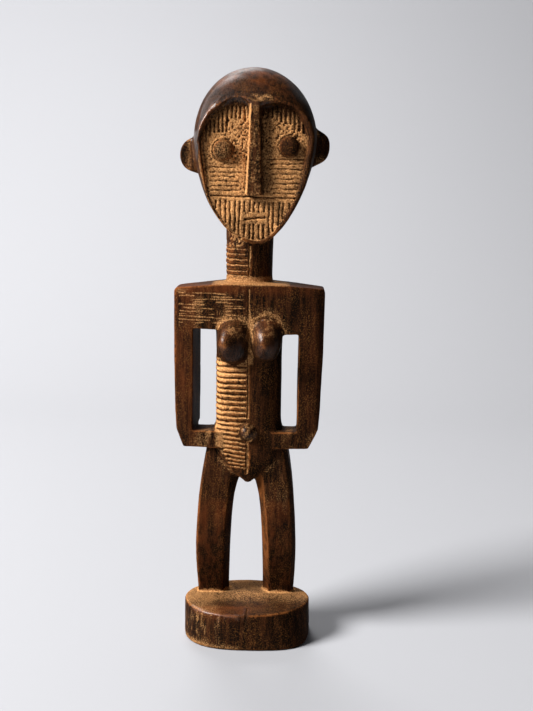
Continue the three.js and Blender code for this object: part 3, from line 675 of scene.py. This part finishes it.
def body_dust_highlight_and_shade(s):
    """Ribs, navel, thighs, neck rings, chest, the line down the middle, breasts and creases."""
    leftwards = 1.0 - smooth_step(-21.0, -7.0, s.x)
    # walls that face up, and at the left more of them, get dust, partly a painted highlight; walls that face
    # down stay bare, a painted shade; this holds for the ribs and the neck's rings
    lit_wall = smooth_step(0.2, 0.55, s.nz + 0.25 * leftwards)
    shaded_wall = smooth_step(0.0, -0.3, s.nz)
    dust = rib_dust_highlight_and_shade(s, leftwards, lit_wall, shaded_wall)
    navel = (1.0 - smooth_step(0.8, 1.0, s.oval(NAVEL, NAVEL_RADII))) * (s.y < -15.0)
    dust = np.maximum(dust, 0.2 * navel * smooth_step(0.35, 0.6, s.fine))
    thighs = s.at("thighs") * smooth_step(9.0, 14.0, np.abs(s.x)) * s.front
    dust = np.maximum(dust, 0.12 * thighs * smooth_step(0.4, 0.7, s.streaky))
    on_neck = 0.4 * lit_wall - 0.6 * shaded_wall - 0.2 * s.groove + 0.3 * (s.fine - 0.5)
    neck = s.at("neck ring dust") * np.clip(on_neck, 0.0, 0.9)
    dust = np.maximum(dust, neck * smooth_step(0.2, 0.5, s.patchy + 0.2))
    scratched = 0.5 * smooth_step(0.01, 0.05, s.hollow) + 0.16 * smooth_step(0.4, 0.75, s.patchy)
    dust = np.maximum(dust, s.front * s.at("chest left dust") * scratched)
    midline = s.at("midline")
    for low, high in MIDLINE_RUNS:
        run = midline * window(low, high, MIDLINE_SOFT, s.z)
        dust = np.maximum(dust, 0.85 * run * smooth_step(0.02, 0.12, s.hollow))
    return most_of(dust, breast_dust(s), crease_dust(s))


def breast_dust(s):
    """Dusty mottles and arcs over the breasts, and the channel between them."""
    dust = 0.5 * s.at("between breasts") * s.front
    for middle in BREASTS:
        away = s.oval(middle, (12.6, 16.8))
        height = s.z - middle[1]
        mottles = smooth_step(0.4, 0.65, 0.5 * s.mottled + 0.5 * s.fine) * (away < 1.0) * s.front
        dust = np.maximum(dust, 0.3 * mottles * smooth_step(-4.0, 8.0, height))
        upper = smooth_step(-6.0, 5.0, height) * (s.y < -8.0)
        arcs = sum(strength * bump_at(away, ring, width) for ring, width, strength in BREAST_ARCS)
        dust = np.maximum(dust, 0.5 * upper * arcs * smooth_step(0.2, 0.6, s.patchy))
    return dust


def crease_dust(s):
    """Hips, the neck's foot, the jaw's chips, hands, ears, feet, the brow and small hollows."""
    front = smooth_step(0.2, -0.3, s.ny)
    broken = smooth_step(0.3, 0.6, s.fine)
    dust = np.zeros(len(s.points))
    for start, end, strength in CREASES:
        dust = np.maximum(dust, strength * front * broken * stroke(s.points, start, end, 2.2))
    dust = np.maximum(dust, 0.5 * s.at("neck foot") * smooth_step(0.2, 0.45, s.patchy))
    dust = np.maximum(dust, 0.5 * s.at("jaw chip dust") * smooth_step(0.45, 0.7, s.fine) * (s.y < 0.0))
    hands = s.at("hand heights") * smooth_step(23.0, 28.0, np.abs(s.x))
    dust = np.maximum(dust, 0.2 * hands * smooth_step(0.35, 0.75, s.patchy))
    ears = smooth_step(41.5, 43.5, np.abs(s.x)) * s.at("ears")
    dust = np.maximum(dust, 0.25 * ears * smooth_step(0.4, 0.8, s.patchy))
    dust = np.maximum(dust, 0.75 * (s.at("feet") * smooth_step(0.0, 0.45, s.broad)))
    brow = 1.0 - smooth_step(0.5, 1.2, s.oval(BROW_DUST["middle"], BROW_DUST["radii"]))
    dust = np.maximum(dust, 0.5 * brow * (s.y < -20.0) * smooth_step(0.25, 0.6, s.fine))
    hollows = smooth_step(0.03, 0.2, s.hollow) * smooth_step(0.35, 0.8, s.patchy)
    dust = np.maximum(dust, 0.3 * hollows)
    return dust * (1.0 - beside_crack(s.points))


def base_dust(s):
    """Dust on the base's top, most at the left and behind, and streaks on its side."""
    top = s.at("base top") * smooth_step(0.5, 0.85, s.nz)
    thick = 0.06 + 0.2 * smooth_step(-14.0, -36.0, s.x) + 0.22 * smooth_step(-16.0, 10.0, s.y)
    dust = top * thick * (1.4 * s.mottled + 0.8 * s.fine) * (1.0 - beside_crack(s.points))
    side = s.at("base side dust") * smooth_step(0.7, 0.4, np.abs(s.nz))
    leftwards = smooth_step(14.0, -34.0, s.x)
    streaks = smooth_step(0.5, 0.75, 0.3 * s.streaky + 0.7 * s.fine) * (0.08 + 0.22 * leftwards)
    foot = s.at("base foot") * (0.05 + 0.3 * leftwards)
    return np.maximum(dust, side * np.maximum(streaks, foot * (0.4 + s.patchy)))


def worn_edges_highlight_and_shade(s):
    """Where handling has taken the patina off: edges and the crown; also the legs' left sides, which face the
    light, partly a painted highlight, and less of it on the right of the head and shoulders, a painted shade.
    """
    edges = smooth_step(0.03, 0.15, -s.hollow) * smooth_step(0.25, 0.7, 0.6 * s.patchy + 0.4 * s.fine)
    edges *= 1.0 - 0.7 * s.face
    # the legs' left sides, partly a painted highlight where the light falls
    leg = s.at("leg edges") * smooth_step(-0.25, -0.55, s.nx) * (s.ny < -0.1)
    leg = 0.7 * leg * smooth_step(0.3, 0.6, 0.5 * s.patchy + 0.5 * s.streaky)
    crown = 0.3 * smooth_step(378.0, 396.0, s.z) * smooth_step(0.3, 0.7, s.mottled)
    worn = most_of(edges, leg, crown)
    # painted shade: less wear on the right of the head and shoulders, which are turned from the light
    worn *= 1.0 - 0.85 * smooth_step(14.0, 34.0, s.x) * (s.z > 250.0)
    return worn * (1.0 - beside_crack(s.points))


def warm_places(s):
    """Where the wood is redder: crown, arms, knees, shins, breasts, navel, shoulders, base edge."""
    warm = smooth_step(378.0, 392.0, s.z) * (0.15 + 0.7 * smooth_step(0.35, 0.65, s.mottled))
    warm = np.maximum(warm, 0.45 * s.at("arm heights") * smooth_step(33.0, 40.0, np.abs(s.x)))
    streaks = smooth_step(0.4, 0.7, s.streaky)
    warm = np.maximum(warm, s.at("knees") * (s.y < 5.0) * (0.3 + 0.5 * streaks))
    warm = np.maximum(warm, 0.6 * s.at("shins") * streaks)
    for middle, radii, front in RUBBED:
        inside = 1.0 - smooth_step(0.7, 1.0, s.oval(middle, radii))
        warm = np.maximum(warm, 0.4 * (s.y < front) * inside * smooth_step(0.3, 0.6, s.mottled))
    warm = np.maximum(warm, 0.8 * s.at("shoulder edge"))
    warm = np.maximum(warm, 0.8 * s.at("base front edge") * smooth_step(6.0, -4.0, s.x))
    return warm * smooth_step(0.15, 0.6, s.patchy)


def dark_patina_and_painted_shade(s):
    """Where the wood is nearly black: dark patina in the limbs' streaks, on the base's side and in the crack;
    painted shade under the breasts, on the lower halves of the breasts and navel, on the right peg and ear,
    on the side turned from the light and on the arm windows' inner walls; and darker above the left arch and
    on the belly's right.
    """
    brow = window(3.0, 12.0, 3.0, s.above_arch) * s.at("dark brow") * (s.y < 0.0)
    base_side = s.at("base side grime") * smooth_step(0.7, 0.4, np.abs(s.nz))
    # painted shadow under the breasts; above the left arch and on the belly's right the wood is darker
    dark = most_of(0.75 * brow, 0.45 * s.at("right belly"), 0.5 * s.at("under breasts"), 0.6 * base_side)
    dark *= smooth_step(0.2, 0.55, 1.0 - s.patchy + 0.25)
    arms = smooth_step(34.0, 38.0, np.abs(s.x)) * (s.z < 256.0)
    limbs = 0.7 * np.maximum(s.at("legs"), arms)
    limbs = limbs * smooth_step(0.55, 0.35, s.streaky) * smooth_step(0.25, 0.6, s.mottled)
    dark = np.maximum(dark, limbs)
    # painted shade on the lower half of each breast and of the navel
    for middle, radii, front in RUBBED:
        lower = (s.y < front) * (1.0 - smooth_step(0.9, 1.0, s.oval(middle, radii)))
        dark = np.maximum(dark, 0.8 * lower * smooth_step(2.0, -6.0, s.z - middle[1]))
    # painted shade on the right peg, in the nose's shadow, and on the right ear, turned from the light
    right_peg = (1.0 - smooth_step(1.0, 1.2, s.oval(RIGHT_EYE, (7.0, 7.0)))) * (1.0 - s.face)
    right_ear = smooth_step(40.0, 42.5, s.x) * (s.z > 320.0)
    # painted shade: the side turned from the light is darkened most
    turned_away = smooth_step(6.0, 46.0, s.x) * smooth_step(0.3, -0.2, s.ny) * (1.0 - s.face)
    # painted shade on the inner walls of the arm windows, which face away from the light
    inner_walls = smooth_step(0.4, 0.8, s.nx) * s.at("inner walls")
    return most_of(dark, 0.7 * right_peg * (s.y < 0.0), 0.95 * right_ear, base_crack(s.points, 1.2),
                   0.75 * turned_away, 0.95 * inner_walls)


def glossy_places(s):
    """Where hands have polished the wood: the brow, crown, breasts, navel and the base's rim."""
    gloss = window(-1.0, 14.0, 3.0, s.above_arch) * s.at("polished brow") * (s.y < 4.0)
    gloss = np.maximum(gloss, 0.4 * smooth_step(372.0, 380.0, s.z))
    for middle, radii, front in RUBBED:
        button = (s.y < front) * (1.0 - smooth_step(0.7, 1.0, s.oval(middle, radii)))
        gloss = np.maximum(gloss, 0.45 * button)
    rim = s.at("base front rim") * smooth_step(4.0, -8.0, s.x)
    gloss = np.maximum(gloss, rim * smooth_step(0.02, 0.08, -s.hollow))
    return gloss * (0.6 + 0.4 * smooth_step(0.3, 0.6, s.patchy))


def colour_fields(points, normals, edges, face):
    s = Surface(points, normals, edges, face)
    found = {"dust": most_of(face_dust_and_painted_shade(s), body_dust_highlight_and_shade(s), base_dust(s)), "wear_and_highlight": worn_edges_highlight_and_shade(s),
             "warm": warm_places(s), "dark": dark_patina_and_painted_shade(s), "gloss": glossy_places(s)}
    return {name: np.clip(values, 0.0, 1.0) for name, values in found.items()}


def keep_field(mesh, name, values):
    field = mesh.attributes.new(name, "FLOAT", "POINT")
    field.data.foreach_set("value", values.astype(np.float32))


def thin_out(piece, most):
    """Brings the mesh under a number of triangles, fewest where the surface is plain."""
    triangles = sum(len(p.vertices) - 2 for p in piece.data.polygons)
    decimate = piece.modifiers.new("decimate", "DECIMATE")
    decimate.ratio = min(1.0, most / triangles)
    decimate.use_collapse_triangulate = True
    apply_modifiers(piece)


# Materials

class Wiring:
    """Adds shader nodes to a material and links them."""

    def __init__(self, name):
        self.material = bpy.data.materials.new(name)
        self.material.use_nodes = True
        self.tree = self.material.node_tree
        self.tree.nodes.clear()
        self.output = self.add("ShaderNodeOutputMaterial")

    def add(self, kind, **settings):
        node = self.tree.nodes.new(kind)
        for key, value in settings.items():
            setattr(node, key, value)
        return node

    def link(self, source, target):
        self.tree.links.new(source, target)

    def give(self, socket, value):
        if isinstance(value, bpy.types.NodeSocket):
            self.link(value, socket)
        else:
            socket.default_value = value

    def field(self, name):
        return self.add("ShaderNodeAttribute", attribute_name=name).outputs["Fac"]

    def stretched(self, scale):
        """Object coordinates, stretched; scale is in repeats for each metre."""
        mapping = self.add("ShaderNodeMapping")
        mapping.inputs["Scale"].default_value = scale
        self.link(self.add("ShaderNodeTexCoord").outputs["Object"], mapping.inputs["Vector"])
        return mapping.outputs["Vector"]

    def noise(self, scale, detail, roughness):
        node = self.add("ShaderNodeTexNoise")
        self.link(self.stretched(scale), node.inputs["Vector"])
        node.inputs["Scale"].default_value = 1.0
        node.inputs["Detail"].default_value = detail
        node.inputs["Roughness"].default_value = roughness
        return node.outputs["Fac"]

    def math(self, operation, a, b, clamp=False):
        node = self.add("ShaderNodeMath", operation=operation, use_clamp=clamp)
        self.give(node.inputs[0], a)
        self.give(node.inputs[1], b)
        return node.outputs[0]

    def times(self, a, b):
        return self.math("MULTIPLY", a, b)

    def span(self, value, low, high, to_low=0.0, to_high=1.0):
        node = self.add("ShaderNodeMapRange", interpolation_type="SMOOTHSTEP")
        self.give(node.inputs["Value"], value)
        node.inputs["From Min"].default_value = low
        node.inputs["From Max"].default_value = high
        node.inputs["To Min"].default_value = to_low
        node.inputs["To Max"].default_value = to_high
        return node.outputs["Result"]

    def mix(self, share, a, b):
        """Colour a with a share of colour b; each is a socket or a name in COLOURS."""
        node = self.add("ShaderNodeMix", data_type="RGBA")
        self.give(node.inputs[0], share)
        for number, colour in ((6, a), (7, b)):
            self.give(node.inputs[number], linear(colour) if isinstance(colour, str) else colour)
        return node.outputs[2]


def linear(name):
    """One of the COLOURS as the shader's linear numbers."""
    def one(value):
        share = value / 255.0
        return share / 12.92 if share <= 0.04045 else ((share + 0.055) / 1.055) ** 2.4
    return (*(one(value) for value in COLOURS[name]), 1.0)


def carved_wood():
    w = Wiring("carved_wood")
    dust, wear_and_highlight, warm, dark, gloss = (w.field(name) for name in ("dust", "wear_and_highlight", "warm", "dark", "gloss"))
    grain = w.noise((430.0, 430.0, 34.0), 5.0, 0.64)
    fibre = w.noise((1500.0, 1500.0, 120.0), 3.0, 0.65)
    blotch = w.noise((60.0, 60.0, 34.0), 4.0, 0.62)
    speck = w.noise((1700.0, 1700.0, 1300.0), 2.0, 0.6)
    patch = w.noise((90.0, 90.0, 60.0), 2.0, 0.5)
    # bare wood with its grain, pores and blotches
    wood = w.mix(w.span(grain, 0.41, 0.59), "dark grain", "light grain")
    wood = w.mix(w.span(fibre, 0.5, 0.4, 0.0, 0.8), wood, "pores")
    wood = w.mix(w.span(blotch, 0.5, 0.72, 0.0, 0.5), wood, "brown blotch")
    wood = w.mix(w.times(warm, w.span(blotch, 0.3, 0.6, 0.35, 0.9)), wood, "warm wood")
    wood = w.mix(w.span(blotch, 0.44, 0.3, 0.0, 0.6), wood, "dark blotch")
    # the dark field: dark patina, and painted shade where the wood is turned from the lamp or lies under a
    # form
    wood = w.mix(w.times(dark, w.span(grain, 0.25, 0.7, 1.0, 0.55)), wood, "blackish brown")
    # rubbed edges, with a painted highlight on the legs' left sides, and grit
    rubbed_and_lit = w.math("ADD", wear_and_highlight, w.span(speck, 0.3, 0.7, -0.3, 0.2), clamp=True)
    wood = w.mix(w.times(rubbed_and_lit, 0.62), wood, "rubbed wood and highlight")
    grit = w.times(w.span(speck, 0.53, 0.62), w.span(patch, 0.38, 0.64, 0.05, 0.4))
    wood = w.mix(grit, wood, "grit")
    # ochre dust, thinned or thickened in places as painted shade and painted highlight
    sand = w.mix(w.span(speck, 0.3, 0.7), "dark sand", "light sand")
    cover = w.math("ADD", dust, w.span(speck, 0.3, 0.7, -0.3, 0.22), clamp=True)
    cover = w.times(cover, w.span(dust, 0.02, 0.2))
    shader = w.add("ShaderNodeBsdfPrincipled")
    w.link(w.mix(cover, wood, sand), shader.inputs["Base Color"])
    # dust is matt, and rubbed places have a soft polish
    matt = w.math("ADD", w.times(cover, 0.35), w.times(gloss, -0.2))
    w.link(w.math("ADD", w.span(blotch, 0.3, 0.7, 0.56, 0.66), matt, clamp=True), shader.inputs["Roughness"])
    shader.inputs["Specular IOR Level"].default_value = 0.02
    shader.inputs["Coat Roughness"].default_value = 0.32
    w.link(w.times(gloss, w.span(fibre, 0.35, 0.6, 0.4, 1.0)), shader.inputs["Coat Weight"])
    # fibres and grains of dust that are too small for the mesh
    grains = w.times(speck, w.span(dust, 0.0, 1.0, 0.3, 1.2))
    bump = w.add("ShaderNodeBump")
    bump.inputs["Strength"].default_value = 0.4
    bump.inputs["Distance"].default_value = 0.3 * MM
    w.link(w.math("ADD", w.times(fibre, 0.7), grains), bump.inputs["Height"])
    w.link(bump.outputs["Normal"], shader.inputs["Normal"])
    w.link(bump.outputs["Normal"], shader.inputs["Coat Normal"])
    w.link(shader.outputs["BSDF"], w.output.inputs["Surface"])
    return w.material


def plain_paper():
    w = Wiring("pale_floor")
    shader = w.add("ShaderNodeBsdfPrincipled")
    shader.inputs["Base Color"].default_value = linear("paper")
    shader.inputs["Roughness"].default_value = 0.95
    w.link(shader.outputs["BSDF"], w.output.inputs["Surface"])
    return w.material


# The piece

def carved_figure():
    piece = clean_copy("figure", "carved_figure")
    reach = even_out_facets(piece)
    mesh = piece.data
    edges = edges_of(mesh)
    points, normals = points_of(mesh), normals_of(mesh)
    face = in_face(points, normals)
    below_face = points[:, 2] < CHIN
    cut = np.maximum(face, cut_places(points) * below_face)
    not_behind = normals[:, 1] < 0.2
    moved = points + normals * small_relief(points, normals, reach, face)[:, None]
    moved += deepened(points, edges, 1.1 * cut) + drift(points, cut * not_behind)
    moved[:, 2] = np.maximum(moved[:, 2], 0.0)
    put_points(mesh, moved)
    for name, values in colour_fields(moved, normals_of(mesh), edges, face).items():
        keep_field(mesh, name, values)
    thin_out(piece, MOST_TRIANGLES)
    for polygon in piece.data.polygons:
        polygon.use_smooth = True
    piece.data.materials.append(carved_wood())
    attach(piece, "root")
    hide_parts("figure")


# Floor, light and camera

def sweep():
    """A pale floor that curves up into a plain background."""
    radius, steps, half_width = SHEET["radius"], SHEET["steps"], SHEET["width"] / 2
    bend = SHEET["back"] - radius
    profile = [(SHEET["front"], 0.0), (bend, 0.0)]
    for i in range(1, steps + 1):
        turn = i / steps * math.pi / 2
        profile.append((bend + radius * math.sin(turn), radius - radius * math.cos(turn)))
    profile.append((SHEET["back"], SHEET["top"]))
    vertices = [(side * half_width * MM, y * MM, z * MM) for y, z in profile for side in (-1, 1)]
    faces = [(2 * i, 2 * i + 1, 2 * i + 3, 2 * i + 2) for i in range(len(profile) - 1)]
    mesh = bpy.data.meshes.new("floor")
    mesh.from_pydata(vertices, [], faces)
    for polygon in mesh.polygons:
        polygon.use_smooth = True
    floor = bpy.data.objects.new("floor", mesh)
    bpy.context.scene.collection.objects.link(floor)
    floor.data.materials.append(plain_paper())


def soft_light(name, place, target, size, power):
    light = bpy.data.lights.new(name, "AREA")
    light.shape = "DISK"
    light.size = size * MM
    light.energy = power
    lamp = bpy.data.objects.new(name, light)
    lamp.location = Vector(place) * MM
    lamp.rotation_euler = ((Vector(target) - Vector(place)) * MM).to_track_quat("-Z", "Y").to_euler()
    bpy.context.scene.collection.objects.link(lamp)


def studio():
    for name, lamp in LAMPS.items():
        soft_light(name, **lamp)
    world = bpy.data.worlds.new("room")
    world.use_nodes = True
    background = world.node_tree.nodes["Background"]
    background.inputs["Color"].default_value = ROOM_COLOUR
    background.inputs["Strength"].default_value = ROOM_LIGHT
    bpy.context.scene.world = world
    bpy.context.scene.view_settings.view_transform = "Standard"


def camera():
    azimuth, pitch, roll = (math.radians(CAMERA[k]) for k in ("azimuth", "pitch", "roll"))
    right = Vector((math.cos(azimuth), math.sin(azimuth), 0.0))
    ahead = Vector((-math.sin(azimuth), math.cos(azimuth), 0.0))
    place = right * CAMERA["aside"] - ahead * CAMERA["ahead"] + Vector((0.0, 0.0, CAMERA["height"]))
    forward = ahead * math.cos(pitch) - Vector((0.0, 0.0, math.sin(pitch)))
    up = right.cross(forward)
    turned_right = right * math.cos(roll) + up * math.sin(roll)
    turned_up = up * math.cos(roll) - right * math.sin(roll)
    lens = bpy.data.cameras.new("photo_camera")
    lens.sensor_width = SENSOR
    lens.lens = FOCAL_PIXELS * SENSOR / FRAME_HEIGHT_PIXELS
    lens.clip_start, lens.clip_end = CLIP_METRES
    holder = bpy.data.objects.new("photo_camera", lens)
    matrix = Matrix((turned_right, turned_up, -forward)).transposed().to_4x4()
    matrix.translation = place * MM
    holder.matrix_world = matrix
    bpy.context.scene.collection.objects.link(holder)
    bpy.context.scene.camera = holder


camera()
sweep()
studio()
carved_figure()
